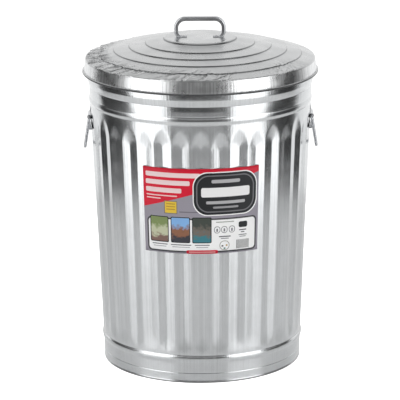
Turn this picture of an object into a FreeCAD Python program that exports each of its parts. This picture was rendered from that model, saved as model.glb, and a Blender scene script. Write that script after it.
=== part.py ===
"""A galvanized steel can: fluted tapering wall, loose lift-off lid and two hinged side bails.

Millimetres. The origin is on the floor under the middle of the can, +Z is up, the labelled
front faces -Y, and the side bails hang at -X and +X.
"""
import FreeCAD, Part
import os
from math import asin, cos, degrees, pi, radians, sin, tan

from FreeCAD import Vector

# Sheet and wall. The wall is a cone that grows wider upwards.
SHEET = 0.6
WALL_R_AT_FLOOR = 197.2
WALL_SLOPE = 0.0411
WALL_BOTTOM_Z = 3.0
RIM_TOP_Z = 615.2
RIM_WIRE_R = 1.5
ROLL_SET_IN = 0.15

# Rings pressed round the wall: (lower edge, upper edge, how far it stands out).
WALL_BEADS = ((43.5, 56.5, 2.2), (528.5, 541.5, 2.0))

# Ledge pressed out under the rim: a long slope faces down, a tight round turns back above it.
LEDGE_LOW, LEDGE_SLOPE_TO, LEDGE_CROWN_Z, LEDGE_HIGH = 562.5, 574.5, 576.6, 578.5
LEDGE_SLOPE_PROUD, LEDGE_PROUD = 2.5, 2.8

# Flutes: V grooves between sharp crests, with a pointed arch at each end.
FLUTE_COUNT = 36
FLUTE_DEPTH_SHARE = 0.0152
FLUTE_WIDTH_SHARE = 0.97
FLUTE_FOOT_Z = 68.0
FLUTE_FULL_FROM_Z = 90.0
FLUTE_FULL_TO_Z = 480.0
FLUTE_ARCH_Z = 513.5

# Bottom: a raised pan inside the wall and a hoop outside it, rolled at the foot.
SEAM_GAP = 0.2
PAN_FLOOR_Z = 18.0
PAN_CORNER_R = 4.0
HOOP_TOP_Z = 20.5
HOOP_FOOT_R = 2.2
HOOP_FOOT_FLAT = 1.6
HOOP_ROLL_PROUD = 0.9

# Lid: skirt, rolled edge with a wire in it, and a dome that rises in rings.
LID_EDGE_R = 231.8
LID_EDGE_Z = 589.8
LID_EDGE_TUBE_R = 2.2
LID_SHOULDER_R = 227.1
LID_SHOULDER_Z = 615.5
LID_CORNER_R = 2.0
LID_STEPS = ((200.9, 622.4), (172.0, 631.0), (141.3, 637.8), (108.6, 644.0))
LID_STEP_RISE = 1.8
LID_STEP_RUN = 2.4
LID_CROWN_FOOT_R = 74.5
LID_CROWN_FOOT_Z = 650.6
LID_CROWN_R = 69.5
LID_CROWN_Z = 654.8

# Lid handle: a strap bent to a U, its feet turned inwards on the crown.
STRAP_TOP_Z = 696.0
STRAP_HALF_SPAN = 51.0
STRAP_THICK = 8.0
STRAP_WIDE = 13.0
STRAP_BEND_R = 22.0
STRAP_EDGE_R = 3.0
STRAP_NECK_Z = 664.0
STRAP_NECK_IN = 5.0
FOOT_THICK = 2.4
FOOT_TIP_X = 26.0
FOOT_RIVET_X = 32.5

# Side bails and the plates that hold them. Plate rivets are (distance from the middle, height).
PIVOT_X = 220.8
PIVOT_Z = 498.4
BAIL_WIRE_R = 2.8
BAIL_TILT = 9.0
BAIL_DROP = 60.0
BAIL_TOP_HALF = 29.0
BAIL_FOOT_HALF = 35.0
BAIL_TOP_BEND = 7.0
BAIL_FOOT_BEND = 12.0
PLATE_THICK = 1.2
PLATE_TOP_Z = 519.5
PLATE_BOTTOM_Z = 475.5
PLATE_HALF = 22.0
PLATE_LIP_HALF = 33.0
PLATE_FLARE_Z = 492.4
KNUCKLE_BORE_R = 3.1
KNUCKLE_BACK_X = 212.0
LIP_GAP = 0.3
PLATE_RIVETS = ((15.5, 512.5), (19.0, 486.0))

# Rivets and label.
RIVET_SHANK_R = 2.0
RIVET_HEAD_R = 3.6
RIVET_HEAD_H = 1.3
RIVET_TAIL = 2.0
RIVET_SINK = 0.3
LABEL_HALF_ANGLE = 31.4
LABEL_BOTTOM_Z = 268.5
LABEL_TOP_Z = 440.0
LABEL_THICK = 0.3

UP = Vector(0, 0, 1)
ORIGIN = Vector(0, 0, 0)


def wall_r(z):
    """Outside radius of the plain wall at height z."""
    return WALL_R_AT_FLOOR + WALL_SLOPE * z


def at(radius, z):
    """A point of a section in the XZ plane."""
    return Vector(radius, 0, z)


def loop(points):
    """Closed wire of straight edges."""
    return Part.makePolygon(list(points) + [points[0]])


def spin(wire, angle=360.0):
    """Solid of revolution of a closed section about the Z axis."""
    return Part.Face(wire).revolve(ORIGIN, UP, angle)


def disc(centre, radius, way, length):
    """Cylinder that starts at centre and runs along way."""
    return Part.makeCylinder(radius, length, centre, way)


def joined(shapes):
    """One solid out of touching shapes."""
    return shapes[0].multiFuse(shapes[1:]).removeSplitter()


def rounded_loop(corners):
    """Closed wire of straight runs, each corner (point, radius) rounded by a tangent arc."""
    ends = []
    edges = []
    for index, (corner, radius) in enumerate(corners):
        back = (corners[index - 1][0] - corner).normalize()
        ahead = (corners[(index + 1) % len(corners)][0] - corner).normalize()
        if radius == 0:
            ends.append((corner, corner))
            continue
        half = back.getAngle(ahead) / 2
        start = corner + back * (radius / tan(half))
        end = corner + ahead * (radius / tan(half))
        inward = (back + ahead).normalize()
        middle = corner + inward * (radius / sin(half) - radius)
        edges.append(Part.Arc(start, middle, end).toShape())
        ends.append((start, end))
    for index, (start, _) in enumerate(ends):
        edges.append(Part.LineSegment(ends[index - 1][1], start).toShape())
    return Part.Wire(Part.__sortEdges__(edges))


# ---- wall ---------------------------------------------------------------------------------

def wall_section(inset, low, high):
    """Section from the axis to the wall face, with the pressed rings as arcs."""
    def face(z):
        return wall_r(z) - inset

    edges = [Part.LineSegment(at(0, low), at(face(low), low)).toShape()]
    z = low
    for bottom, top, proud in WALL_BEADS:
        middle = (bottom + top) / 2
        edges.append(Part.LineSegment(at(face(z), z), at(face(bottom), bottom)).toShape())
        crown = at(face(middle) + proud, middle)
        edges.append(Part.Arc(at(face(bottom), bottom), crown, at(face(top), top)).toShape())
        z = top
    slope_end = at(face(LEDGE_SLOPE_TO) + LEDGE_SLOPE_PROUD, LEDGE_SLOPE_TO)
    crown = at(face(LEDGE_CROWN_Z) + LEDGE_PROUD, LEDGE_CROWN_Z)
    edges.append(Part.LineSegment(at(face(z), z), at(face(LEDGE_LOW), LEDGE_LOW)).toShape())
    edges.append(Part.LineSegment(at(face(LEDGE_LOW), LEDGE_LOW), slope_end).toShape())
    edges.append(Part.Arc(slope_end, crown, at(face(LEDGE_HIGH), LEDGE_HIGH)).toShape())
    z = LEDGE_HIGH
    edges.append(Part.LineSegment(at(face(z), z), at(face(high), high)).toShape())
    edges.append(Part.LineSegment(at(face(high), high), at(0, high)).toShape())
    edges.append(Part.LineSegment(at(0, high), at(0, low)).toShape())
    return Part.Wire(edges)


def flute_cutter(index, inset):
    """Wedge that cuts one flute: two planar flanks and a planar arch facet at each end of each."""
    half = pi / FLUTE_COUNT * FLUTE_WIDTH_SHARE

    def valley(z, depth_share=FLUTE_DEPTH_SHARE):
        return Vector(wall_r(z) * (1 - depth_share), 0, z)

    def past(start, through):
        """The point on the ray from start through another, well outside the wall."""
        return start + (through - start) * 1.8

    def crest(side, z):
        return past(valley(z), Vector(wall_r(z) * cos(half), wall_r(z) * sin(half) * side, z))

    low, high = valley(FLUTE_FULL_FROM_Z), valley(FLUTE_FULL_TO_Z)
    left_low, right_low = crest(-1, FLUTE_FULL_FROM_Z), crest(1, FLUTE_FULL_FROM_Z)
    left_high, right_high = crest(-1, FLUTE_FULL_TO_Z), crest(1, FLUTE_FULL_TO_Z)
    foot = past(low, valley(FLUTE_FOOT_Z, 0))
    arch = past(high, valley(FLUTE_ARCH_Z, 0))
    outlines = (
        (low, left_low, left_high, high), (low, high, right_high, right_low),
        (low, foot, left_low), (low, right_low, foot),
        (high, left_high, arch), (high, arch, right_high),
        (foot, right_low, left_low), (arch, left_high, right_high),
        (left_low, right_low, right_high, left_high),
    )
    wedge = Part.Solid(Part.Shell([Part.Face(loop(points)) for points in outlines]))
    if wedge.Volume < 0:
        wedge.reverse()
    wedge.translate(Vector(-inset, 0, 0))
    wedge.rotate(ORIGIN, UP, 360.0 / FLUTE_COUNT * index)
    return wedge


def fluted_core(inset, low, high):
    """Everything inside the wall face, with the flutes cut into it."""
    core = spin(wall_section(inset, low, high))
    return core.cut([flute_cutter(index, inset) for index in range(FLUTE_COUNT)])


def rim_centre():
    """Radius and height of the middle of the rolled rim."""
    tube = RIM_WIRE_R + SHEET
    z = RIM_TOP_Z - tube
    return wall_r(z) - SHEET - ROLL_SET_IN + tube, z


def ring(radius, z, tube_r):
    return Part.makeTorus(radius, tube_r, at(0, z), UP)


def rolled_edge(radius, z, wire_r):
    """Sheet rolled all the way round a wire."""
    return ring(radius, z, wire_r + SHEET).cut(ring(radius, z, wire_r))


def body_shell():
    """Wall sheet, rolled outwards over the rim wire at the top."""
    rim_r, rim_z = rim_centre()
    outside = fluted_core(0, WALL_BOTTOM_Z, rim_z)
    inside = fluted_core(SHEET, WALL_BOTTOM_Z - 1, rim_z + 1)
    wall = outside.cut(inside)
    core = ring(rim_r, rim_z, RIM_WIRE_R)
    shell = wall.cut(core).fuse(rolled_edge(rim_r, rim_z, RIM_WIRE_R)).removeSplitter()
    shanks = [rivet_shank(side, y, z) for side in (-1, 1) for y, z in plate_rivet_spots()]
    return shell.cut(shanks)


def top_rim_wire():
    rim_r, rim_z = rim_centre()
    return ring(rim_r, rim_z, RIM_WIRE_R)


def bottom_pan():
    """Raised bottom with its flange turned down inside the wall."""
    gap = SHEET + SEAM_GAP
    foot_r, top_r = wall_r(WALL_BOTTOM_Z) - gap, wall_r(PAN_FLOOR_Z) - gap
    bend = PAN_CORNER_R
    inner_bend = bend - SHEET
    outer = Part.Arc(
        at(top_r, PAN_FLOOR_Z - bend),
        at(top_r - bend * (1 - cos(pi / 4)), PAN_FLOOR_Z - bend * (1 - sin(pi / 4))),
        at(top_r - bend, PAN_FLOOR_Z)).toShape()
    inner = Part.Arc(
        at(top_r - bend, PAN_FLOOR_Z - SHEET),
        at(top_r - bend + inner_bend * cos(pi / 4), PAN_FLOOR_Z - bend + inner_bend * sin(pi / 4)),
        at(top_r - SHEET, PAN_FLOOR_Z - bend)).toShape()
    section = Part.Wire([
        Part.LineSegment(at(foot_r, WALL_BOTTOM_Z), at(top_r, PAN_FLOOR_Z - bend)).toShape(),
        outer,
        Part.LineSegment(at(top_r - bend, PAN_FLOOR_Z), at(0, PAN_FLOOR_Z)).toShape(),
        Part.LineSegment(at(0, PAN_FLOOR_Z), at(0, PAN_FLOOR_Z - SHEET)).toShape(),
        Part.LineSegment(at(0, PAN_FLOOR_Z - SHEET), at(top_r - bend, PAN_FLOOR_Z - SHEET)).toShape(),
        inner,
        Part.LineSegment(at(top_r - SHEET, PAN_FLOOR_Z - bend), at(foot_r - SHEET, WALL_BOTTOM_Z)).toShape(),
        Part.LineSegment(at(foot_r - SHEET, WALL_BOTTOM_Z), at(foot_r, WALL_BOTTOM_Z)).toShape(),
    ])
    return spin(section)


def base_hoop():
    """Band round the foot of the wall, rolled under it into the ring the can stands on."""
    inside = SEAM_GAP
    foot_r = wall_r(0) + inside + SHEET + HOOP_ROLL_PROUD - HOOP_FOOT_R
    band = spin(loop([
        at(wall_r(0) + inside, HOOP_FOOT_R), at(wall_r(0) + inside + SHEET, HOOP_FOOT_R),
        at(wall_r(HOOP_TOP_Z) + inside + SHEET, HOOP_TOP_Z), at(wall_r(HOOP_TOP_Z) + inside, HOOP_TOP_Z),
    ]))
    tube = ring(foot_r, HOOP_FOOT_R, HOOP_FOOT_R)
    slab_r, slab_top = foot_r + HOOP_FOOT_FLAT, 1.0
    slab = spin(loop([at(slab_r, 0), at(slab_r, slab_top), at(foot_r - HOOP_FOOT_FLAT, slab_top),
                      at(foot_r - HOOP_FOOT_FLAT, 0)]))
    seat = spin(loop([at(0, WALL_BOTTOM_Z), at(wall_r(0) + inside, WALL_BOTTOM_Z),
                      at(wall_r(0) + inside, HOOP_TOP_Z), at(0, HOOP_TOP_Z)]))
    return joined([band, tube.cut(seat), slab])


# ---- side bails and their plates ----------------------------------------------------------

def turned_to_side(shape, side):
    """Shapes are drawn on the +X side; the -X side is the same one turned half round."""
    if side < 0:
        shape.rotate(ORIGIN, UP, 180)
    return shape


def plate_rivet_spots():
    return [(y * half, z) for y, z in PLATE_RIVETS for half in (-1, 1)]


def plate_face_x(y, z):
    """X of the plate's outer face."""
    return ((wall_r(z) + PLATE_THICK) ** 2 - y ** 2) ** 0.5


def rivet_shank(side, y, z):
    face = plate_face_x(y, z)
    return turned_to_side(disc(Vector(face - 9, y, z), RIVET_SHANK_R, Vector(1, 0, 0), 9), side)


def cone_layer(inner_gap, thickness, low, high):
    """Conical shell that lies on the wall's crests."""
    return spin(loop([
        at(wall_r(low) + inner_gap, low), at(wall_r(low) + inner_gap + thickness, low),
        at(wall_r(high) + inner_gap + thickness, high), at(wall_r(high) + inner_gap, high),
    ]))


def knuckle_bar(radius, half_length):
    """Bar along Y round the pivot, half round outside and running straight back to the wall."""
    along = Vector(0, 1, 0)
    bar = disc(Vector(PIVOT_X, -half_length, PIVOT_Z), radius, along, 2 * half_length)
    back = PIVOT_X - KNUCKLE_BACK_X
    web = Part.makeBox(back, 2 * half_length, 2 * radius,
                       Vector(KNUCKLE_BACK_X, -half_length, PIVOT_Z - radius))
    return bar.fuse(web)


def handle_plate(side):
    """Riveted plate with a knuckle across it for the bail and a lip the bail rests on."""
    outline = [(-PLATE_HALF, PLATE_TOP_Z), (PLATE_HALF, PLATE_TOP_Z), (PLATE_HALF, PLATE_FLARE_Z),
               (PLATE_LIP_HALF, PLATE_BOTTOM_Z), (-PLATE_LIP_HALF, PLATE_BOTTOM_Z),
               (-PLATE_HALF, PLATE_FLARE_Z)]
    prism = Part.Face(loop([Vector(150, y, z) for y, z in outline])).extrude(Vector(150, 0, 0))
    sheet = cone_layer(0.02, PLATE_THICK, PLATE_BOTTOM_Z, PLATE_TOP_Z).common(prism)

    wall_space = cone_layer(0.02 - 40, 40, PLATE_BOTTOM_Z - 5, PLATE_TOP_Z + 5)
    knuckle = knuckle_bar(KNUCKLE_BORE_R + PLATE_THICK, PLATE_HALF).cut(wall_space)
    bore = knuckle_bar(KNUCKLE_BORE_R, PLATE_HALF + 1)

    tilt = radians(BAIL_TILT)
    drop = PIVOT_Z - PLATE_BOTTOM_Z - PLATE_THICK
    lip_x = PIVOT_X + drop * tan(tilt) - (BAIL_WIRE_R + LIP_GAP) / cos(tilt)
    lip = Part.makeBox(lip_x - 200, 2 * PLATE_LIP_HALF, PLATE_THICK,
                       Vector(200, -PLATE_LIP_HALF, PLATE_BOTTOM_Z)).cut(wall_space)

    plate = joined([sheet, knuckle, lip]).cut(bore)
    if side < 0:
        plate = turned_to_side(plate, side)
    return plate.cut([rivet_shank(side, y, z) for y, z in plate_rivet_spots()])


def rivet_head(base, way):
    """Low dome whose flat side is centred on base."""
    radius = (RIVET_HEAD_R ** 2 + RIVET_HEAD_H ** 2) / (2 * RIVET_HEAD_H)
    sunk = radius - RIVET_HEAD_H
    return Part.makeSphere(radius, base - way * sunk, way, degrees(asin(sunk / radius)), 90)


def plate_rivets(side, neighbours):
    """Four rivets: domed head outside, shank, and a tail closed up against the wall inside."""
    out = Vector(1, 0, 0)
    rivets = []
    for y, z in plate_rivet_spots():
        face = plate_face_x(y, z)
        tail_end = face - PLATE_THICK - SHEET - RIVET_TAIL
        rivet = joined([
            rivet_head(Vector(face - RIVET_SINK, y, z), out),
            disc(Vector(tail_end, y, z), RIVET_SHANK_R, out, face - tail_end),
            disc(Vector(tail_end, y, z), RIVET_HEAD_R, out, RIVET_TAIL),
        ])
        fitted = turned_to_side(rivet, side).cut(neighbours)
        rivets.append(max(fitted.Solids, key=lambda solid: solid.Volume))
    return Part.makeCompound(rivets)


def bail(side):
    """Closed loop of wire, its straight top bar running through the knuckle."""
    tilt = radians(BAIL_TILT)

    def spot(y, drop):
        return Vector(PIVOT_X + drop * sin(tilt), y, PIVOT_Z - drop * cos(tilt))

    path = rounded_loop([
        (spot(-BAIL_TOP_HALF, 0), BAIL_TOP_BEND), (spot(BAIL_TOP_HALF, 0), BAIL_TOP_BEND),
        (spot(BAIL_FOOT_HALF, BAIL_DROP), BAIL_FOOT_BEND),
        (spot(-BAIL_FOOT_HALF, BAIL_DROP), BAIL_FOOT_BEND),
    ])
    start = path.OrderedVertexes[0].Point
    way = path.OrderedEdges[0].tangentAt(path.OrderedEdges[0].FirstParameter)
    section = Part.Wire(Part.makeCircle(BAIL_WIRE_R, start, way))
    return turned_to_side(path.makePipeShell([section], True, False), side)


# ---- lid ----------------------------------------------------------------------------------

def lid_dome_line(drop):
    """Points of the lid's top from the shoulder to the crown, lowered by drop."""
    points = []
    for radius, z in LID_STEPS:
        points.append(at(radius + LID_STEP_RUN / 2, z - LID_STEP_RISE / 2 - drop))
        points.append(at(radius - LID_STEP_RUN / 2, z + LID_STEP_RISE / 2 - drop))
    points.append(at(LID_CROWN_FOOT_R, LID_CROWN_FOOT_Z - drop))
    points.append(at(LID_CROWN_R, LID_CROWN_Z - drop))
    return points


def lid_shell():
    """One sheet: stepped dome, shoulder, skirt, and the edge rolled outwards round its wire."""
    edge_in = LID_EDGE_R - LID_EDGE_TUBE_R + ROLL_SET_IN
    corners = [(at(edge_in + SHEET, LID_EDGE_Z), 0), (at(LID_SHOULDER_R, LID_SHOULDER_Z), LID_CORNER_R)]
    corners += [(point, 0) for point in lid_dome_line(0)]
    corners += [(at(0, LID_CROWN_Z), 0), (at(0, LID_CROWN_Z - SHEET), 0)]
    corners += [(point, 0) for point in reversed(lid_dome_line(SHEET))]
    corners.append((at(LID_SHOULDER_R - SHEET, LID_SHOULDER_Z - SHEET), LID_CORNER_R - SHEET))
    corners.append((at(edge_in, LID_EDGE_Z), 0))
    wire_r = LID_EDGE_TUBE_R - SHEET
    sheet = spin(rounded_loop(corners)).cut(ring(LID_EDGE_R, LID_EDGE_Z, wire_r))
    shell = sheet.fuse(rolled_edge(LID_EDGE_R, LID_EDGE_Z, wire_r)).removeSplitter()
    return shell.cut([foot_shank(side) for side in (-1, 1)])


def lid_rim_wire():
    return ring(LID_EDGE_R, LID_EDGE_Z, LID_EDGE_TUBE_R - SHEET)


def foot_shank(side):
    low = LID_CROWN_Z - SHEET - RIVET_TAIL
    return disc(Vector(side * FOOT_RIVET_X, 0, low), RIVET_SHANK_R, UP, LID_CROWN_Z + FOOT_THICK - low)


def lid_handle():
    """Half-round strap: high bar, two legs that neck in, two feet lying on the crown."""
    foot_z = LID_CROWN_Z
    foot_top = foot_z + FOOT_THICK
    span, inner = STRAP_HALF_SPAN, STRAP_HALF_SPAN - STRAP_THICK
    half = [
        (FOOT_TIP_X, foot_z, 0), (span - STRAP_NECK_IN, foot_z, 2.0), (span, STRAP_NECK_Z, 6.0),
        (span, STRAP_TOP_Z, STRAP_BEND_R),
    ]
    inside = [
        (inner, STRAP_TOP_Z - STRAP_THICK, STRAP_BEND_R - STRAP_THICK), (inner, STRAP_NECK_Z, 6.0),
        (inner - STRAP_NECK_IN, foot_top, 1.5), (FOOT_TIP_X, foot_top, 0),
    ]
    front = -STRAP_WIDE / 2
    right = [(Vector(x, front, z), radius) for x, z, radius in half]
    right_in = [(Vector(x, front, z), radius) for x, z, radius in inside]
    left = [(Vector(-x, front, z), radius) for x, z, radius in reversed(half)]
    left_in = [(Vector(-x, front, z), radius) for x, z, radius in reversed(inside)]
    strap = Part.Face(rounded_loop(right + left + left_in + right_in)).extrude(Vector(0, STRAP_WIDE, 0))
    return strap.makeFillet(STRAP_EDGE_R, outer_bow_edges(strap)).cut([foot_shank(s) for s in (-1, 1)])


def outer_bow_edges(strap):
    """Edges of the U's outer side, above the necks, on both flat faces."""
    edges = []
    for edge in strap.Edges:
        middle = edge.valueAt((edge.FirstParameter + edge.LastParameter) / 2)
        on_flat = all(abs(abs(v.Point.y) - STRAP_WIDE / 2) < 0.01 for v in edge.Vertexes)
        along_y = abs(edge.Vertexes[0].Point.y - edge.Vertexes[-1].Point.y) > 0.01
        outer = abs(middle.x) > STRAP_HALF_SPAN - 6.5 or middle.z > STRAP_TOP_Z - 6.5
        if on_flat and not along_y and outer and middle.z > STRAP_NECK_Z - 4:
            edges.append(edge)
    return edges


def lid_handle_rivets():
    """One rivet through each foot, closed up under the crown."""
    rivets = []
    for side in (-1, 1):
        top = Vector(side * FOOT_RIVET_X, 0, LID_CROWN_Z + FOOT_THICK)
        tail = disc(Vector(top.x, 0, LID_CROWN_Z - SHEET - RIVET_TAIL), RIVET_HEAD_R, UP, RIVET_TAIL)
        rivets.append(joined([rivet_head(top, UP), foot_shank(side), tail]))
    return Part.makeCompound(rivets)


# ---- label --------------------------------------------------------------------------------

def label():
    """Thin printed sheet stuck across the crests on the front."""
    low, high = LABEL_BOTTOM_Z, LABEL_TOP_Z
    gap = 0.02
    section = loop([
        at(wall_r(low) + gap, low), at(wall_r(low) + gap + LABEL_THICK, low),
        at(wall_r(high) + gap + LABEL_THICK, high), at(wall_r(high) + gap, high),
    ])
    sheet = spin(section, 2 * LABEL_HALF_ANGLE)
    sheet.rotate(ORIGIN, UP, -90 - LABEL_HALF_ANGLE)
    return sheet


def save(name, shape):
    shape.exportStep("parts/%s.step" % name)
    kind = "valid" if shape.isValid() else "NOT VALID"
    print("%-22s %s, %d solid, %.1f cm3" % (name, kind, len(shape.Solids), shape.Volume / 1000))


def main():
    os.makedirs("parts", exist_ok=True)
    shell = body_shell()
    save("body_shell", shell)
    save("top_rim_wire", top_rim_wire())
    save("bottom_pan", bottom_pan())
    save("base_hoop", base_hoop())
    for name, side in (("left", -1), ("right", 1)):
        plate = handle_plate(side)
        save(name + "_handle_plate", plate)
        save(name + "_plate_rivets", plate_rivets(side, [plate, shell]))
        save(name + "_bail", bail(side))
    save("lid_shell", lid_shell())
    save("lid_rim_wire", lid_rim_wire())
    save("lid_handle", lid_handle())
    save("lid_handle_rivets", lid_handle_rivets())
    save("label", label())


main()
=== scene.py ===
"""Looks of a fluted galvanized can with a stepped lid: bright zinc sheet, wire, and a printed label."""
from math import atan2, cos, degrees, hypot, pi, radians, sin, sqrt

import bmesh
import bpy
from mathutils import Matrix, Vector, noise


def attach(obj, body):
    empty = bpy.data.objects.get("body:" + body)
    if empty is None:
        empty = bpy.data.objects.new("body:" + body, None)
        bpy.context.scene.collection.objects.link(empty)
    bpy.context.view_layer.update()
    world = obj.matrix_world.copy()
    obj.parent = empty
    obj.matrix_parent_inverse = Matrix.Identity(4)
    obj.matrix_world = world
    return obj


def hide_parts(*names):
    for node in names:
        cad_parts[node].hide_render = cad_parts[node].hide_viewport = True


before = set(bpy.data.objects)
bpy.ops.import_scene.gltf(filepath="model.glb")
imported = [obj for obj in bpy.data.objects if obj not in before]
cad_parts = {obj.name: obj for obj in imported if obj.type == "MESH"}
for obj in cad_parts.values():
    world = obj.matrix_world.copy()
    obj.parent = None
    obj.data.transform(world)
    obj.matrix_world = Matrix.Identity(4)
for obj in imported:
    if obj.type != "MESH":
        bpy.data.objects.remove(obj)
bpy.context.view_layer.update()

MM = 0.001
SHEET = 0.6 * MM

# The wall is a cone; its radius grows with height.
FOOT_R = 0.1972
WALL_SLOPE = 0.0411
FLUTES = 36
FLUTE_PITCH = 2 * pi / FLUTES
FLUTE_DEPTH = 3.35 * MM
FLUTE_FOOT_Z, FLUTE_FOOT_FULL_Z = 0.070, 0.100
FLUTE_ARCH_FULL_Z, FLUTE_ARCH_Z = 0.4800, 0.5135
WALL_BEADS = ((0.0435, 0.0565, 2.2 * MM), (0.5285, 0.5415, 1.8 * MM))
# A ledge under the rim, as height and how proud it stands in mm: its long slope faces down, and it
# fades out behind the lid's skirt. The wall draws in a little below it.
LEDGE = ((0.5625, -0.8), (0.5629, -0.4), (0.5640, 0.1), (0.5668, 0.8), (0.5700, 1.55), (0.5728, 2.15),
         (0.5750, 2.6), (0.5762, 2.76), (0.5785, 2.7), (0.5885, 2.6), (0.5920, 2.2), (0.5980, 1.0),
         (0.6060, 0.1))
GROOVE_FROM_Z, GROOVE_DEPTH = 0.5530, 0.8 * MM
DENTS_FROM_Z, DENTS_TO_Z, DENT_DEPTH = 0.062, 0.5265, 0.3 * MM
RIM_Z, RIM_ROLL = 0.6131, 2.1 * MM
HOOP_TOP_Z, HOOP_ROLL, HOOP_GAP = 0.0205, 2.2 * MM, 0.05 * MM
PAN_Z, PAN_SUNK, PAN_BEND = 0.018, 1.6 * MM, 4.0 * MM

# The lid: a flat crown, four steps down given by radius and height, a skirt, and a rolled edge.
CROWN_R, CROWN_Z, CROWN_FRONT_R = 0.0690, 0.6548, 0.0722
LID_STEPS = ((0.2009, 0.6224), (0.1720, 0.6310), (0.1413, 0.6378), (0.1086, 0.6440))
STEP_RISE, STEP_HALF = 2.1 * MM, 1.2 * MM
SHOULDER_R, SHOULDER_Z, SHOULDER_CORNER = 0.2271, 0.6155, 2.0 * MM
LID_EDGE_R, LID_EDGE_Z, LID_ROLL = 0.2318, 0.5898, 2.2 * MM
# Where the outer ring is crushed: middle from the front in degrees, half width, sharpness, share.
CRUSHED = ((-88, 62, 0.5, 1.0), (-4, 26, 0.7, 0.8), (52, 22, 0.7, 0.7))
FOLD_HEIGHT = 2.0 * MM
FOLDS_FROM_R, FOLDS_FULL_R = 0.172, 0.200

# The label, its half width in degrees.
LABEL_HALF = 31.4
LABEL_LOW, LABEL_HIGH = 0.2685, 0.4400
LABEL_GAP, LABEL_THICK = 0.05 * MM, 0.3 * MM
PRINT_R = 0.2225


def wall_r(z):
    return FOOT_R + WALL_SLOPE * z


# ---- mesh helpers -----------------------------------------------------------------------------

def new_piece(name, bm, material, body, replaces):
    """Turns a finished bmesh into a piece that rides on a body and stands in for CAD nodes."""
    for face in bm.faces:
        face.smooth = True
    mesh = bpy.data.meshes.new(name)
    bm.to_mesh(mesh)
    bm.free()
    piece = bpy.data.objects.new(name, mesh)
    bpy.context.scene.collection.objects.link(piece)
    mesh.materials.append(material)
    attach(piece, body)
    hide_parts(*replaces)
    return piece


def chain(bm, points):
    """Vertices and edges along a section given as (radius, z)."""
    verts = [bm.verts.new((r, 0, z)) for r, z in points]
    edges = [bm.edges.new(pair) for pair in zip(verts, verts[1:])]
    return verts + edges


def spun(points, steps):
    """A section spun about the Z axis, one flute's width first and the rest as turned copies."""
    bm = bmesh.new()
    bmesh.ops.spin(bm, geom=chain(bm, points), axis=(0, 0, 1), cent=(0, 0, 0),
                   angle=FLUTE_PITCH, steps=steps // FLUTES, use_merge=False)
    first = bm.verts[:] + bm.edges[:] + bm.faces[:]
    for index in range(1, FLUTES):
        copy = bmesh.ops.duplicate(bm, geom=first)["geom"]
        moved = [item for item in copy if isinstance(item, bmesh.types.BMVert)]
        turn = Matrix.Rotation(FLUTE_PITCH * index, 3, "Z")
        bmesh.ops.rotate(bm, verts=moved, cent=(0, 0, 0), matrix=turn)
    bmesh.ops.remove_doubles(bm, verts=bm.verts, dist=1e-5)
    bmesh.ops.recalc_face_normals(bm, faces=bm.faces)
    return bm


def arc(r, z, radius, start, end, count):
    """Points round a circle in the section, angles in degrees from outwards, counted upwards."""
    out = []
    for index in range(count + 1):
        turn = radians(start + (end - start) * index / count)
        out.append((r + radius * cos(turn), z + radius * sin(turn)))
    return out


def spread(low, high, count):
    """count + 1 even values from low to high."""
    return [low + (high - low) * index / count for index in range(count + 1)]


def face_out(bm):
    """Turns the faces of an open spun surface round, if its outermost face looks at the axis."""
    face = max(bm.faces, key=lambda f: f.calc_center_median().to_2d().length)
    centre = face.calc_center_median()
    if face.normal.dot(Vector((centre.x, centre.y, 0))) < 0:
        bmesh.ops.reverse_faces(bm, faces=bm.faces)


def solidify(piece, thickness):
    """Gives an open surface its thickness, on the side away from its faces."""
    wall = piece.modifiers.new("sheet thickness", "SOLIDIFY")
    wall.thickness = thickness
    wall.offset = -1
    wall.use_even_offset = True
    return piece


def wave(x, y, z, scale, seed=0.0):
    """Smooth noise from about -1 to 1 with features of the given size in metres."""
    return noise.noise(Vector((x / scale + seed, y / scale - seed, z / scale + 2 * seed)))


# ---- materials --------------------------------------------------------------------------------

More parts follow.
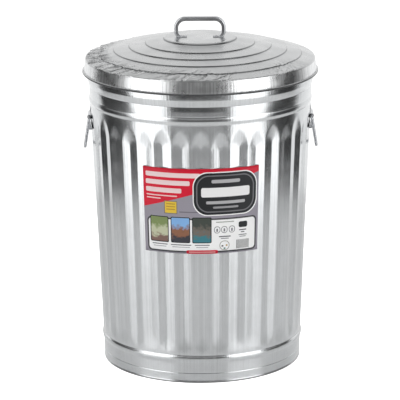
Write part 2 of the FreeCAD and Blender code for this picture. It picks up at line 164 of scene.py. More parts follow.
class Nodes:
    """Short spelling for a material's node tree."""

    def __init__(self, name):
        self.material = bpy.data.materials.new(name)
        self.material.use_nodes = True
        self.tree = self.material.node_tree
        self.shader = self.tree.nodes["Principled BSDF"]
        self.coords = self.add("ShaderNodeTexCoord").outputs["Object"]

    def add(self, kind, **settings):
        node = self.tree.nodes.new(kind)
        for key, value in settings.items():
            setattr(node, key, value)
        return node

    def link(self, source, target):
        if isinstance(source, (int, float, tuple)):
            target.default_value = source
        else:
            self.tree.links.new(source, target)

    def maths(self, operation, *values):
        node = self.add("ShaderNodeMath", operation=operation)
        for value, socket in zip(values, node.inputs):
            self.link(value, socket)
        return node.outputs[0]

    def vector(self, operation, *values):
        node = self.add("ShaderNodeVectorMath", operation=operation)
        for value, socket in zip(values, node.inputs):
            self.link(value, socket)
        return node.outputs["Value" if operation == "LENGTH" else "Vector"]

    def joined(self, x=0.0, y=0.0, z=0.0):
        node = self.add("ShaderNodeCombineXYZ")
        for value, socket in zip((x, y, z), node.inputs):
            self.link(value, socket)
        return node.outputs[0]

    def scaled(self, scale, source):
        node = self.add("ShaderNodeMapping")
        self.link(source, node.inputs["Vector"])
        node.inputs["Scale"].default_value = scale
        return node.outputs[0]

    def noise(self, vector, scale, detail=2.0, rough=0.5, distortion=0.0):
        node = self.add("ShaderNodeTexNoise")
        self.link(vector, node.inputs["Vector"])
        node.inputs["Scale"].default_value = scale
        node.inputs["Detail"].default_value = detail
        node.inputs["Roughness"].default_value = rough
        node.inputs["Distortion"].default_value = distortion
        return node.outputs["Fac"]

    def ramp(self, source, low, high, low_to, high_to):
        """Maps low..high to low_to..high_to and holds outside."""
        node = self.add("ShaderNodeMapRange", clamp=True)
        for value, key in ((source, "Value"), (low, "From Min"), (high, "From Max"),
                           (low_to, "To Min"), (high_to, "To Max")):
            self.link(value, node.inputs[key])
        return node.outputs[0]

    def mix(self, share, first, second):
        node = self.add("ShaderNodeMix", data_type="RGBA")
        for value, socket in ((share, node.inputs[0]), (first, node.inputs[6]), (second, node.inputs[7])):
            self.link(value, socket)
        return node.outputs[2]

    def bump(self, height, strength, distance, normal=None):
        node = self.add("ShaderNodeBump")
        self.link(height, node.inputs["Height"])
        node.inputs["Strength"].default_value = strength
        node.inputs["Distance"].default_value = distance
        if normal is not None:
            self.link(normal, node.inputs["Normal"])
        return node.outputs[0]

    def around(self):
        """Angle about the Z axis in radians, 0 at the front, and height."""
        parts = self.add("ShaderNodeSeparateXYZ")
        self.link(self.coords, parts.inputs[0])
        minus_y = self.maths("MULTIPLY", parts.outputs["Y"], -1.0)
        return self.maths("ARCTAN2", parts.outputs["X"], minus_y), parts.outputs["Z"]


def zinc(name, tint, rough, streak=0.0, below=9.0, painted_edge=None, lid=False):
    """Bright zinc coating: cloudy, with a faint spangle and uneven gloss.

    streak is the strength of the upright drawn lines, which end at the height in below. The argument after
    below gives the two heights between which a flat grey lower edge fades out, and its grey: painted shade
    along the foot's bottom edge and under the lid's rolled edge, a flat mid-grey on the handle's feet. A
    lid also gets painted shade in the corners of its steps, and creases with painted shade and painted
    highlights.
    """
    n = Nodes(name)
    angle, height = n.around()
    lines = n.noise(n.scaled((70.0, 1.0, 2.0), n.joined(x=angle, z=height)), 1.0, 2.0, 0.6)
    lines = n.maths("MULTIPLY", lines, n.ramp(height, below, below + 1 * MM, 1.0, 0.0))
    cloud = n.noise(n.coords, 22.0, 4.0, 0.6)
    grain = n.noise(n.coords, 420.0, 2.0, 0.6)
    crystals = n.add("ShaderNodeTexVoronoi", feature="F1")
    n.link(n.coords, crystals.inputs["Vector"])
    crystals.inputs["Scale"].default_value = 110.0
    crystals.inputs["Randomness"].default_value = 1.0
    flake = n.maths("MULTIPLY", crystals.outputs["Color"], 0.05)
    shade = n.maths("ADD", n.ramp(cloud, 0.3, 0.7, -0.05, 0.05), flake)
    shade = n.maths("ADD", shade, n.ramp(lines, 0.25, 0.75, -0.5 * streak, 0.5 * streak))
    dark = tuple(c * 0.72 for c in tint) + (1.0,)
    light = tuple(min(1.0, c * 1.12) for c in tint) + (1.0,)
    colour = n.mix(n.ramp(shade, -0.25, 0.25, 0.0, 1.0), dark, light)
    if painted_edge:
        low, high, grey = painted_edge
        # Lower edge painted a flat grey over the metal: painted shade on the foot and under the lid's roll,
        # a flat mid-grey on the handle's feet.
        edge_paint_share = n.ramp(height, low, high, 1.0, 0.0)
        colour = n.mix(edge_paint_share, colour, (grey, grey * 1.02, grey * 1.06, 1.0))
        n.link(n.maths("SUBTRACT", 1.0, edge_paint_share), n.shader.inputs["Metallic"])
        n.shader.inputs["Specular IOR Level"].default_value = 0.2
    else:
        n.shader.inputs["Metallic"].default_value = 1.0
    creases = None
    if lid:
        radius = n.vector("LENGTH", n.scaled((1.0, 1.0, 0.0), n.coords))
        # Painted shade in the corners of the lid's steps and round its crown.
        colour = paint_step_shade(n, colour, radius)
        # Creases with painted shade on their flanks and painted highlights on their ridges.
        colour, creases = crush(n, colour, angle, radius)
    n.link(colour, n.shader.inputs["Base Color"])
    n.link(n.ramp(cloud, 0.3, 0.75, rough * 0.8, rough * 1.35), n.shader.inputs["Roughness"])
    relief = n.maths("ADD", lines, n.maths("MULTIPLY", grain, 0.03))
    n.link(n.bump(relief, 0.6, (0.12 + 0.3 * streak) * MM, creases), n.shader.inputs["Normal"])
    return n.material


# Painted shade for the corners of the lid's steps.
STEP_CORNER_SHADE = (0.13, 0.135, 0.14, 1.0)
# Painted shade on the creases' flanks and painted highlight along their ridges.
CREASE_FLANK_SHADE = (0.16, 0.165, 0.17, 1.0)
CREASE_RIDGE_HIGHLIGHT = (0.95, 0.95, 0.96, 1.0)
CREASE_HEIGHT = 2.6 * MM
# Patches of creases: middle angle from the front in radians, full to here, none from here, share.
CREASED = ((-1.55, 0.45, 1.1, 1.0), (-0.07, 0.2, 0.5, 0.6), (0.9, 0.1, 0.35, 0.35))


def paint_step_shade(n, colour, radius):
    """Painted shade: dark lines in the corners of the lid's steps and round its crown."""
    for step_r, reach in [(r, 1.0 * MM) for r, z in LID_STEPS] + [(CROWN_FRONT_R, 1.5 * MM)]:
        away = n.maths("ABSOLUTE", n.maths("SUBTRACT", radius, step_r))
        # Painted shade at the step corner, fading out across reach.
        colour = n.mix(n.ramp(away, 0.6 * reach, reach, 0.75, 0.0), colour, STEP_CORNER_SHADE)
    return colour


def crush(n, colour, angle, radius):
    """Fine slanting creases in patches of the lid's outer ring: painted shade on their flanks, painted
    highlights on their ridges, and their bump.
    """
    share = 0.0
    for middle, full, none, strength in CREASED:
        away = n.maths("ABSOLUTE", n.maths("SUBTRACT", angle, middle))
        share = n.maths("MAXIMUM", share, n.ramp(away, full, none, strength, 0.0))
    share = n.maths("MULTIPLY", share, n.ramp(radius, 0.180, 0.204, 0.0, 1.0))
    share = n.maths("MULTIPLY", share, n.ramp(radius, 0.2265, 0.2275, 1.0, 0.0))
    slant = n.maths("ADD", n.maths("MULTIPLY", angle, 9.0), n.maths("MULTIPLY", radius, 26.0))
    where = n.joined(x=slant, y=n.maths("MULTIPLY", radius, 14.0))
    heights = []
    for scale, width in ((1.0, 0.055), (2.3, 0.07)):
        field = n.noise(where, scale, 1.0, 0.5, 0.6)
        away = n.maths("ABSOLUTE", n.maths("SUBTRACT", field, 0.5))
        heights.append(n.ramp(away, 0.0, width, 1.0, 0.0))
    broad, fine = heights
    ridge = n.maths("MULTIPLY", n.maths("ADD", broad, n.maths("MULTIPLY", fine, 0.3)), share)
    flank = n.maths("MULTIPLY", n.ramp(broad, 0.15, 0.5, 0.0, 1.0), n.ramp(broad, 0.5, 0.85, 1.0, 0.0))
    # Painted shade on the flanks, then painted highlight on the ridges.
    colour = n.mix(n.maths("MULTIPLY", n.maths("MULTIPLY", flank, share), 0.65), colour, CREASE_FLANK_SHADE)
    colour = n.mix(n.ramp(ridge, 0.7, 1.1, 0.0, 0.7), colour, CREASE_RIDGE_HIGHLIGHT)
    return colour, n.bump(ridge, 1.0, CREASE_HEIGHT)


WALL_ZINC = zinc("wall zinc", (0.62, 0.635, 0.645), 0.2, streak=0.25)
# The foot's bottom edge is painted dark, as painted shade.
FOOT_ZINC = zinc("foot zinc", (0.62, 0.635, 0.645), 0.2, streak=0.15, painted_edge=(0.0014, 0.0042, 0.06))
# The underside of the lid's rolled edge is painted dark, as painted shade.
LID_ZINC = zinc("lid zinc", (0.75, 0.76, 0.765), 0.28, streak=0.7, below=0.6125,
                painted_edge=(0.5907, 0.5922, 0.06), lid=True)
WIRE_ZINC = zinc("wire zinc", (0.52, 0.53, 0.55), 0.25)
PLATE_ZINC = zinc("plate zinc", (0.56, 0.57, 0.585), 0.26)
# The handle's feet are painted a flat mid-grey, not metal.
HANDLE_ZINC = zinc("handle zinc", (0.68, 0.69, 0.71), 0.33, painted_edge=(0.6574, 0.6590, 0.6))
RIVET_METAL = zinc("rivet metal", (0.68, 0.68, 0.69), 0.22)


# ---- wall -------------------------------------------------------------------------------------

def bead_points(bottom, top, proud, count):
    """Section of a ring pressed outwards, as a circular arc."""
    chord = top - bottom
    radius = (chord * chord / 4 + proud * proud) / (2 * proud)
    middle = (bottom + top) / 2
    centre = wall_r(middle) + proud - radius
    half = degrees(atan2(chord / 2, radius - proud))
    return arc(centre, middle, radius, -half, half, count)


def wall_section():
    """Wall from the foot to the rolled rim."""
    points = [(wall_r(z), z) for z in (0.003, 0.020, 0.036, 0.0420)]
    base, middle = WALL_BEADS
    points += bead_points(*base, 8)
    points += [(wall_r(z), z) for z in [0.0585] + spread(0.0620, 0.0950, 9) + spread(0.105, 0.440, 8)]
    points += [(wall_r(z), z) for z in spread(0.4460, 0.5240, 22)]
    points += [(wall_r(0.5270), 0.5270)] + bead_points(*middle, 8)
    points += [(wall_r(z), z) for z in spread(0.5430, 0.5622, 9)]
    points += [(wall_r(z) + proud * MM, z) for z, proud in LEDGE]
    rim_r = wall_r(RIM_Z) + 1.35 * MM
    return points + arc(rim_r, RIM_Z, RIM_ROLL, 180, -120, 11)


def flute_share(x, y):
    """0 in the middle of a flute's valley, 1 on the crest beside it."""
    angle = atan2(x, -y)
    return abs((angle / FLUTE_PITCH + 0.5) % 1.0 - 0.5) * 2


def soft_min(first, second, softness):
    """The smaller value, rounded where the two meet."""
    return (first + second - sqrt((first - second) ** 2 + softness * softness)) / 2


def flute_depth(share, z, lift):
    """How far the wall lies inside its cone: flat flanks, a curved arch above, a soft fade below."""
    flank = 1.05 - sqrt(share * share + 0.0025)
    arch_height = FLUTE_ARCH_Z - FLUTE_ARCH_FULL_Z
    arch = (FLUTE_ARCH_Z + lift - arch_height * share ** 2.2 - z) / arch_height
    fade = (z - FLUTE_FOOT_Z) / (FLUTE_FOOT_FULL_Z - FLUTE_FOOT_Z) + 0.3 - 0.3 * share
    depth = soft_min(soft_min(flank, arch, 0.09), fade, 0.3)
    return FLUTE_DEPTH * (depth + sqrt(depth * depth + 0.0012)) / 2


def drifted(turn, z):
    """An angle on the wall, moved a little to one side where the press wandered."""
    turn += radians(0.55) * noise.noise(Vector((2.6 * sin(turn), 2.6 * cos(turn), 1.0 + z * 1.2)))
    return turn + radians(0.12) * noise.noise(Vector((9 * sin(turn), 9 * cos(turn), z * 14)))


def dent(x, y, z):
    """Depth of the soft dents in the fluted stretch of the wall."""
    if not DENTS_FROM_Z < z < DENTS_TO_Z:
        return 0.0
    amount = 0.5 + wave(x, y, z * 0.3, 0.07) * 0.5 + wave(x, y, z, 0.03, 5.0) * 0.25
    fade = min(1.0, (z - DENTS_FROM_Z) / 0.015, (DENTS_TO_Z - z) / 0.012)
    return max(0.0, amount) * DENT_DEPTH * fade


def groove(z):
    """How far the wall draws in below the ledge."""
    ledge_z = LEDGE[0][0]
    if not GROOVE_FROM_Z < z < ledge_z:
        return 0.0
    return GROOVE_DEPTH * ((z - GROOVE_FROM_Z) / (ledge_z - GROOVE_FROM_Z)) ** 1.2


def make_wall():
    bm = spun(wall_section(), FLUTES * 12)
    face_out(bm)
    for vert in bm.verts:
        x, y, z = vert.co
        angle = atan2(x, -y)
        cell = round(angle / FLUTE_PITCH)
        within = (angle / FLUTE_PITCH - cell) * 2
        eased = within - 0.085 * sin(2 * pi * within)
        turn = drifted((cell + eased / 2) * FLUTE_PITCH, z)
        own = noise.noise(Vector((cell * 1.73 + 0.4, 2.2, 0.7)))
        radius = hypot(x, y) - flute_depth(abs(eased), z, own * 7 * MM) * (1 + 0.3 * own)
        radius -= dent(x, y, z) + groove(z)
        vert.co.x = radius * sin(turn)
        vert.co.y = -radius * cos(turn)
    piece = new_piece("wall", bm, WALL_ZINC, "can", ["body_shell"])
    return solidify(piece, SHEET)


# ---- foot -------------------------------------------------------------------------------------

def make_foot():
    """Band round the foot of the wall, rolled under it."""
    outside = HOOP_GAP + SHEET
    roll_r = FOOT_R + outside + 0.9 * MM - HOOP_ROLL
    section = [(wall_r(HOOP_TOP_Z) + HOOP_GAP, HOOP_TOP_Z), (wall_r(HOOP_TOP_Z) + outside, HOOP_TOP_Z),
               (wall_r(0.0195) + outside, 0.0190)]
    section += [(wall_r(z) + outside, z) for z in (0.0120, 0.0060)]
    section += arc(roll_r, HOOP_ROLL, HOOP_ROLL, 40, -180, 18)
    section += [(roll_r - HOOP_ROLL, 0.0030), (FOOT_R + HOOP_GAP, 0.0032)]
    section.append(section[0])
    bm = spun(section, 288)
    return new_piece("foot_hoop", bm, FOOT_ZINC, "can", ["base_hoop"])


def make_pan():
    """Raised bottom with a sunk middle and its flange turned down inside the wall."""
    inside = SHEET + HOOP_GAP
    edge = wall_r(PAN_Z) - inside
    section = [(wall_r(0.003) - inside, 0.003), (edge, PAN_Z - PAN_BEND)]
    section += arc(edge - PAN_BEND, PAN_Z - PAN_BEND, PAN_BEND, 0, 90, 8)[1:]
    section += [(0.180, PAN_Z), (0.1765, PAN_Z), (0.1740, PAN_Z - 0.6 * MM)]
    sunk_radii = (0.1715, 0.1680, 0.140, 0.110, 0.080, 0.050, 0.025, 0.008, 0.0)
    section += [(r, PAN_Z - PAN_SUNK) for r in sunk_radii]
    bm = spun(section, 288)
    face_out(bm)
    piece = new_piece("pan", bm, WALL_ZINC, "can", ["bottom_pan"])
    return solidify(piece, SHEET)


# ---- lid --------------------------------------------------------------------------------------

def between(first, last, shares):
    """Points on the straight line from one (radius, z) to another."""
    return [(first[0] + (last[0] - first[0]) * share, first[1] + (last[1] - first[1]) * share)
            for share in shares]


def lid_section():
    """Lid sheet from the middle of the crown out to the rolled edge."""
    points = [(r, CROWN_Z) for r in (0.0, 0.004, 0.012, 0.024, 0.036, 0.048, 0.058, 0.066)]
    points += [(CROWN_R, CROWN_Z - 0.1 * MM), (0.0702, CROWN_Z - 0.8 * MM),
               (CROWN_FRONT_R, CROWN_Z - 2.6 * MM), (0.0734, CROWN_Z - 3.7 * MM),
               (0.0745, CROWN_Z - 4.2 * MM)]
    for radius, z in reversed(LID_STEPS):
        top_r, top_z = radius - STEP_HALF, z + STEP_RISE / 2
        points += between(points[-1], (top_r, top_z), (0.06, 0.3, 0.6, 0.86))
        points += [(top_r - 0.3 * MM, top_z + 0.05 * MM), (top_r + 0.45 * MM, top_z - 0.2 * MM),
                   (radius - 0.35 * MM, z + 0.25 * MM), (radius + 0.05 * MM, z - 0.35 * MM),
                   (radius + 0.5 * MM, z - STEP_RISE * 0.47), (radius + STEP_HALF, z - STEP_RISE * 0.55)]
    top_r = SHOULDER_R - SHOULDER_CORNER
    points += between(points[-1], (top_r, SHOULDER_Z + 0.2 * MM), spread(0, 1, 12)[1:])
    points += arc(top_r, SHOULDER_Z - SHOULDER_CORNER, SHOULDER_CORNER, 72, 4, 5)
    skirt_top = (SHOULDER_R, SHOULDER_Z - SHOULDER_CORNER)
    skirt_foot = (LID_EDGE_R - LID_ROLL + 0.8 * MM, LID_EDGE_Z + 2 * MM)
    points += between(skirt_top, skirt_foot, spread(0, 1, 5)[1:])
    return points + arc(LID_EDGE_R, LID_EDGE_Z, LID_ROLL, 165, 500, 14)


def crinkle(angle):
    """Share of crumpling at an angle in the lid's outer ring, from 0 to 1."""
    return max(share * max(0.0, 1 - abs(angle - middle) / half) ** power
               for middle, half, power, share in CRUSHED)


def folds(angle, radius):
    """Slanting creases that run out to the lid's edge, sharp along their tops."""
    bend = noise.noise(Vector((angle * 3, radius * 25, 4.0)))
    broad = noise.noise(Vector((angle * 8 + radius * 16 + bend * 1.2, radius * 9, 2.0)))
    fine = noise.noise(Vector((angle * 17 - radius * 22 + bend, radius * 20, 6.0)))
    crease = max(0.0, 1 - abs(broad) * 8)
    return crease + broad * 1.4 + 0.45 * max(0.0, 1 - abs(fine) * 7)


def make_lid():
    bm = spun(lid_section(), FLUTES * 14)
    face_out(bm)
    fold_z = SHOULDER_Z - SHOULDER_CORNER
    for vert in bm.verts:
        x, y, z = vert.co
        radius = hypot(x, y)
        if radius < 0.01:
            continue
        if z > fold_z and radius > FOLDS_FROM_R:
            angle = atan2(x, -y)
            reach = min(1.0, (radius - FOLDS_FROM_R) / (FOLDS_FULL_R - FOLDS_FROM_R))
            reach *= min(1.0, (z - fold_z) / (1.5 * MM))
            vert.co.z += crinkle(degrees(angle)) * reach * folds(angle, radius) * FOLD_HEIGHT
        vert.co.z += wave(x, y, 0, 0.05, 1.0) * 0.18 * MM * min(1.0, radius / 0.05)
    piece = new_piece("lid_sheet", bm, LID_ZINC, "lid", ["lid_shell"])
    return solidify(piece, SHEET)


# ---- label ------------------------------------------------------------------------------------

def make_label():
    """Printed sheet across the crests, drawn in a little between them."""
    bm = bmesh.new()
    section = [(wall_r(z) + LABEL_GAP + LABEL_THICK, z) for z in spread(LABEL_LOW, LABEL_HIGH, 12)]
    bmesh.ops.spin(bm, geom=chain(bm, section), axis=(0, 0, 1), cent=(0, 0, 0),
                   angle=radians(2 * LABEL_HALF), steps=130)
    to_front = Matrix.Rotation(radians(-90 - LABEL_HALF), 3, "Z")
    bmesh.ops.rotate(bm, verts=bm.verts, cent=(0, 0, 0), matrix=to_front)
    bmesh.ops.recalc_face_normals(bm, faces=bm.faces)
    face_out(bm)
    for vert in bm.verts:
        x, y, z = vert.co
        share = flute_share(x, y)
        edge = min(1.0, (z - LABEL_LOW) / 0.01 + 0.3, (LABEL_HIGH - z) / 0.01 + 0.3)
        inward = 0.12 * MM * (1 - share) ** 2 * (1 + 2 * share) * edge
        factor = 1 - inward / hypot(x, y)
        vert.co.x, vert.co.y = x * factor, y * factor
    piece = new_piece("printed_label", bm, label_print(), "can", ["label"])
    paper = Nodes("label paper")
    paper.shader.inputs["Base Color"].default_value = (0.7, 0.7, 0.69, 1)
    paper.shader.inputs["Roughness"].default_value = 0.7
    piece.data.materials.append(paper.material)
    solidify(piece, LABEL_THICK).modifiers["sheet thickness"].material_offset = 1
    return piece


class Print(Nodes):
    """Flat art on the unrolled sheet, in mm from the sheet's top left corner, down and to the right."""

    def __init__(self, name, ground):
        super().__init__(name)
        angle, height = self.around()
        across = self.maths("MULTIPLY_ADD", angle, PRINT_R / MM, radians(LABEL_HALF) * PRINT_R / MM)
        down = self.maths("MULTIPLY_ADD", height, -1 / MM, LABEL_HIGH / MM)
        self.across, self.down, self.sheet = across, down, self.joined(x=across, y=down)
        self.colour = ground

    def distance(self, left, top, right, bottom, corner):
        """Distance outside a rounded box drawn in by its corner radius."""
        middle = ((left + right) / 2, (top + bottom) / 2, 0.0)
        half = ((right - left) / 2 - corner, (bottom - top) / 2 - corner, 0.0)
        away = self.vector("ABSOLUTE", self.vector("SUBTRACT", self.sheet, middle))
        outside = self.vector("MAXIMUM", self.vector("SUBTRACT", away, half), (0.0, 0.0, 0.0))
        return self.vector("LENGTH", outside)

    def paint(self, mask, colour):
        """Lays a plain colour, or a node's colour, over what is there already."""
        if isinstance(colour, tuple):
            colour = (*colour, 1.0)
        self.colour = self.mix(mask, self.colour, colour)

    def box(self, left, top, right, bottom, colour, corner=1.0):
        self.paint(self.maths("LESS_THAN", self.distance(left, top, right, bottom, corner), corner), colour)

    def outline(self, left, top, right, bottom, colour, corner, width):
        reach = self.distance(left, top, right, bottom, corner)
        inside = self.maths("LESS_THAN", reach, corner)
        band = self.maths("MULTIPLY", inside, self.maths("GREATER_THAN", reach, corner - width))
        self.paint(band, colour)


RED = (0.62, 0.012, 0.035)
MAUVE = (0.29, 0.275, 0.315)
INK = (0.02, 0.022, 0.024)
PAPER = (0.86, 0.86, 0.86)
YELLOW = (0.72, 0.50, 0.05)


def label_print():
    """Red wedge, dark badge and a white panel with plain pictures; bars stand for the wording."""
    p = Print("label print", (*MAUVE, 1.0))
    wedge = p.maths("ADD", p.down, p.maths("MULTIPLY", p.across, 0.283))
    p.paint(p.maths("LESS_THAN", wedge, 81.0), RED)
    for top, right, high in ((9.0, 120, 9.5), (24.5, 99, 9.5), (40.0, 82, 9.5)):
        p.box(6, top, right, top + high, (0.80, 0.62, 0.62), 2.5)
    for top, right in ((54.5, 73), (60.5, 38)):
        p.box(7, top, right, top + 2.4, (0.80, 0.55, 0.55), 1.0)
    p.box(45.5, 65.5, 73, 91.5, (0.16, 0.15, 0.14), 1.0)
    p.box(47, 67, 71.5, 90, YELLOW, 0.5)
    for top in (70.5, 76.0, 81.5):
        p.box(50, top, 68.5, top + 2.2, (0.45, 0.27, 0.04), 0.6)
    p.box(77, 86, 118, 88.2, (0.16, 0.15, 0.18), 0.8)
    badge(p)
    p.box(6.5, 100.0, 239.5, 169.0, (0.05, 0.05, 0.055), 9.0)
    p.box(9.5, 103.0, 236.5, 166.0, PAPER, 7.0)
    pictures(p)
    small_print(p)
    p.box(91, 164.3, 156, 171.5, RED, 2.5)
    p.box(96, 166.8, 151, 169.4, (0.72, 0.30, 0.30), 0.8)
    p.link(p.colour, p.shader.inputs["Base Color"])
    p.shader.inputs["Roughness"].default_value = 0.42
    p.shader.inputs["Specular IOR Level"].default_value = 0.22
    return p.material


def badge(p):
    """Plain dark badge with blank bars."""
    p.box(105, 6.5, 240, 94.5, PAPER, 30.0)
    p.box(107, 8.5, 238, 92.5, INK, 28.5)
    p.outline(112, 13, 233, 88, (0.15, 0.15, 0.16), 25.0, 2.5)
    p.box(143, 22, 202, 29, (0.42, 0.42, 0.43), 3.0)
    p.box(122, 38, 223, 57, (0.80, 0.80, 0.80), 4.0)
    p.box(132, 65, 213, 71, (0.42, 0.42, 0.43), 2.5)
    p.box(146, 76, 199, 80, (0.30, 0.30, 0.31), 2.0)


def pictures(p):
    """Three small framed scenes of soft colour."""
    looks = (
        (13.5, 54, (0.20, 0.26, 0.10), (0.50, 0.52, 0.36), (0.20, 0.12, 0.10)),
        (58.5, 99, (0.22, 0.42, 0.72), (0.26, 0.12, 0.07), (0.05, 0.05, 0.06)),
        (103, 143, (0.06, 0.07, 0.06), (0.16, 0.14, 0.12), (0.05, 0.20, 0.24)),
    )
    cloud = p.noise(p.sheet, 0.12, 3.0, 0.6)
    patch = p.noise(p.scaled((0.06, 0.1, 1.0), p.sheet), 1.0, 2.0, 0.6)
    for left, right, far, middle, near in looks:
        p.box(left, 97.5, right, 150, INK, 3.0)
        scene = p.mix(p.ramp(p.maths("ADD", p.down, p.maths("MULTIPLY", cloud, 30.0)), 128, 138, 0.0, 1.0),
                      (*far, 1.0), (*middle, 1.0))
        scene = p.mix(p.ramp(p.maths("ADD", p.down, p.maths("MULTIPLY", patch, 40.0)), 152, 160, 0.0, 1.0),
                      scene, (*near, 1.0))
        p.box(left + 1.8, 99.3, right - 1.8, 148.2, scene, 2.0)


def small_print(p):
    """Grey bars for captions, plain roundels, and a block of fine stripes."""
    grey = (0.22, 0.22, 0.23)
    for left, right in ((17, 51), (58, 101), (108, 139)):
        p.box(left, 153.0, right, 155.2, grey, 0.8)
        p.box(left + 3, 157.6, right - 3, 159.4, (0.4, 0.4, 0.41), 0.8)
    p.box(152, 107, 190, 109, (0.35, 0.37, 0.33), 0.8)
    for middle in (154.5, 169.5, 185.5):
        p.outline(middle - 6.6, 116.5, middle + 6.6, 130.5, grey, 6.0, 1.4)
        p.box(middle - 1.8, 121.0, middle + 1.8, 127.5, grey, 1.0)
    p.box(158, 136.3, 183, 138.6, (0.12, 0.12, 0.13), 0.8)
    p.box(162, 140.5, 179, 142.3, grey, 0.8)
    p.outline(159.5, 146, 180.5, 165.0, (0.25, 0.24, 0.2), 9.2, 1.3)
    spots = ((163.5, 155, INK), (168, 160, (0.02, 0.16, 0.14)), (172.5, 154, (0.4, 0.25, 0.05)))
    for left, top, shade in spots:
        p.box(left, top, left + 4, top + 3, shade, 1.2)
    p.box(200, 109.5, 219, 121.5, INK, 3.5)
    p.box(201, 125.5, 217, 127.7, (0.1, 0.1, 0.1), 0.8)
    p.box(205, 130, 213, 132, (0.1, 0.1, 0.1), 0.8)
    p.box(200, 135.5, 218, 137.5, grey, 0.8)
    p.box(202, 139.3, 216, 141, grey, 0.8)
    stripe = p.maths("FRACT", p.maths("MULTIPLY", p.across, 0.42))
    shade = p.mix(p.maths("LESS_THAN", stripe, 0.55), (*PAPER, 1.0), (0.06, 0.06, 0.065, 1.0))
    p.box(194.5, 146, 223.5, 164, shade, 0.3)


# ---- carried-over pieces ----------------------------------------------------------------------

FINISHES = {
    "top_rim_wire": WIRE_ZINC, "lid_rim_wire": WIRE_ZINC, "left_bail": WIRE_ZINC, "right_bail": WIRE_ZINC,
    "left_handle_plate": PLATE_ZINC, "right_handle_plate": PLATE_ZINC, "lid_handle": HANDLE_ZINC,
    "left_plate_rivets": RIVET_METAL, "right_plate_rivets": RIVET_METAL, "lid_handle_rivets": RIVET_METAL,
}


def finish_carried_nodes():
    for name, material in FINISHES.items():
        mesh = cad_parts[name].data
        mesh.materials.clear()
        mesh.materials.append(material)


# ---- stage ------------------------------------------------------------------------------------

TABLE_R = 1.3
TABLE_GLOW = 0.14
ROOM_LEVEL = 0.04
BACKDROP_R, BACKDROP_FOOT_Z, BACKDROP_TOP_Z = 7.0, -3.0, 8.0
BACKDROP_FROM, BACKDROP_TO = radians(28), radians(146)


def glow_card(name, size, place, aim, strength):
    """Large soft light panel."""
    light = bpy.data.lights.new(name, "AREA")
    light.shape = "RECTANGLE"
    light.size, light.size_y = size
    light.energy = strength
    lamp = bpy.data.objects.new(name, light)
    lamp.location = place
    lamp.rotation_euler = (Vector(aim) - Vector(place)).to_track_quat("-Z", "Y").to_euler()
    bpy.context.scene.collection.objects.link(lamp)


def lit_paper(name, low, high):
    """Lit paper, from one level at knee height to another near its top."""
    n = Nodes(name)
    n.shader.inputs["Base Color"].default_value = (0, 0, 0, 1)
    n.shader.inputs["Roughness"].default_value = 1.0
    n.shader.inputs["Specular IOR Level"].default_value = 0.0
    n.shader.inputs["Emission Color"].default_value = (1, 1, 1, 1)
    height = n.around()[1]
    n.link(n.ramp(height, 0.5, 6.5, low, high), n.shader.inputs["Emission Strength"])
    return n.material


def table_paint():
    """Glossy pale paint, brighter to the eye than to the can."""
    n = Nodes("pale floor")
    n.shader.inputs["Base Color"].default_value = (0.9, 0.9, 0.9, 1)
    n.shader.inputs["Roughness"].default_value = 0.2
    n.shader.inputs["Emission Color"].default_value = (1, 1, 1, 1)
    seen = n.add("ShaderNodeLightPath").outputs["Is Camera Ray"]
    n.link(n.ramp(seen, 0.0, 1.0, TABLE_GLOW, 1.0), n.shader.inputs["Emission Strength"])
    return n.material


def stage_piece(name, bm, material):
    """Part of the surroundings, which is not part of the object."""
    mesh = bpy.data.meshes.new(name)
    bm.to_mesh(mesh)
    bm.free()
    mesh.materials.append(material)
    piece = bpy.data.objects.new(name, mesh)
    bpy.context.scene.collection.objects.link(piece)


def make_stage():
    """Round pale table in front of a curved white backdrop."""
    bm = bmesh.new()
    bmesh.ops.create_circle(bm, cap_ends=True, segments=96, radius=TABLE_R)
    stage_piece("floor", bm, table_paint())

    bm = bmesh.new()
    x, y = BACKDROP_R * cos(BACKDROP_FROM), BACKDROP_R * sin(BACKDROP_FROM)
    ends = [bm.verts.new((x, y, z)) for z in (BACKDROP_FOOT_Z, BACKDROP_TOP_Z)]
    bmesh.ops.spin(bm, geom=ends + [bm.edges.new(ends)], axis=(0, 0, 1), cent=(0, 0, 0),
                   angle=BACKDROP_TO - BACKDROP_FROM, steps=24, use_merge=False)
    stage_piece("backdrop", bm, lit_paper("backdrop white", 1.15, 0.9))


def make_room():
    """World that is white to the eye and a dim room to the metal."""
    world = bpy.data.worlds.new("studio")
    bpy.context.scene.world = world
    world.use_nodes = True
    tree = world.node_tree
    back = tree.nodes["Background"]
    back.inputs["Color"].default_value = (1, 1, 1, 1)
    seen = tree.nodes.new("ShaderNodeLightPath").outputs["Is Camera Ray"]
    level = tree.nodes.new("ShaderNodeMapRange")
    tree.links.new(seen, level.inputs["Value"])
    level.inputs["To Min"].default_value = ROOM_LEVEL
    level.inputs["To Max"].default_value = 1.0
    tree.links.new(level.outputs[0], back.inputs["Strength"])


# Side softboxes: the turn from the front in degrees on the left and on the right.
SOFTBOX_TURNS = ((-1, 53), (1, 50))
SOFTBOX_R, SOFTBOX_Z, SOFTBOX_SIZE = 2.3, 0.95, (1.75, 3.6)
TABLE_LAMP_X, TABLE_LAMP_Y, TABLE_LAMP_Z = 0.95, -0.62, 0.85
FRONT_FILL_X, FRONT_FILL_Y = -0.15, -6.6
HIGH_FILL_R, HIGH_FILL_Z, HIGH_FILL_SIZE = 6.5, 3.4, (5.2, 3.2)
CAN_MIDDLE = (0, 0, 0.6)


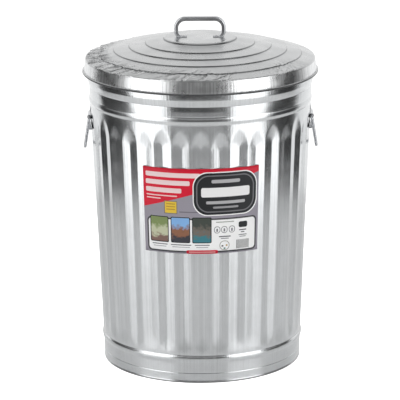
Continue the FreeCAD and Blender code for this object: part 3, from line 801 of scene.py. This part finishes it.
def make_lights():
    """Two tall softboxes, two low lamps, dim fills in front and high on every side, one overhead."""
    for side, turn in SOFTBOX_TURNS:
        azimuth = radians(turn)
        spot = (side * SOFTBOX_R * sin(azimuth), -SOFTBOX_R * cos(azimuth), SOFTBOX_Z)
        glow_card("side softbox %d" % side, SOFTBOX_SIZE, spot, CAN_MIDDLE, 39)
        over = (side * TABLE_LAMP_X, TABLE_LAMP_Y, TABLE_LAMP_Z)
        glow_card("table lamp %d" % side, (0.7, 0.7), over, (*over[:2], 0), 1.5)
    for name, height, z, power in (("front fill low", 1.25, -2.05, 13), ("front fill high", 1.3, 0.3, 2.5)):
        glow_card(name, (6.4, height), (FRONT_FILL_X, FRONT_FILL_Y, z), (FRONT_FILL_X, 0, z), power)
    for turn in (-100, -50, 0, 50, 100):
        azimuth = radians(turn)
        place = (HIGH_FILL_R * sin(azimuth), -HIGH_FILL_R * cos(azimuth), HIGH_FILL_Z)
        glow_card("high fill %d" % turn, HIGH_FILL_SIZE, place, CAN_MIDDLE, 19)
    glow_card("overhead softbox", (3.0, 3.0), (0, 1.0, 3.6), (0, 0, 0.3), 18)


CAMERA_PLACE = (0, -5.1686, 1.7204)
CAMERA_DOWN, CAMERA_ROLL = radians(15.156), radians(0.396)
CAMERA_LENS, CAMERA_SHIFT = 239.66, -0.0028


def make_camera():
    """Long lens, a little above the lid, turned a trace about its own axis."""
    data = bpy.data.cameras.new("camera")
    data.sensor_width = 36.0
    data.lens = CAMERA_LENS
    data.shift_x = CAMERA_SHIFT
    data.clip_end = 50.0
    camera = bpy.data.objects.new("camera", data)
    bpy.context.scene.collection.objects.link(camera)
    ahead = Vector((0, cos(CAMERA_DOWN), -sin(CAMERA_DOWN)))
    level = Vector((1, 0, 0))
    over = level.cross(ahead)
    right = level * cos(CAMERA_ROLL) - over * sin(CAMERA_ROLL)
    up = level * sin(CAMERA_ROLL) + over * cos(CAMERA_ROLL)
    turn = Matrix((right, up, -ahead)).transposed()
    camera.matrix_world = Matrix.Translation(CAMERA_PLACE) @ turn.to_4x4()
    bpy.context.scene.camera = camera


make_camera()
make_wall()
make_foot()
make_pan()
make_lid()
make_label()
finish_carried_nodes()
make_stage()
make_room()
make_lights()
bpy.context.scene.view_settings.view_transform = "Standard"
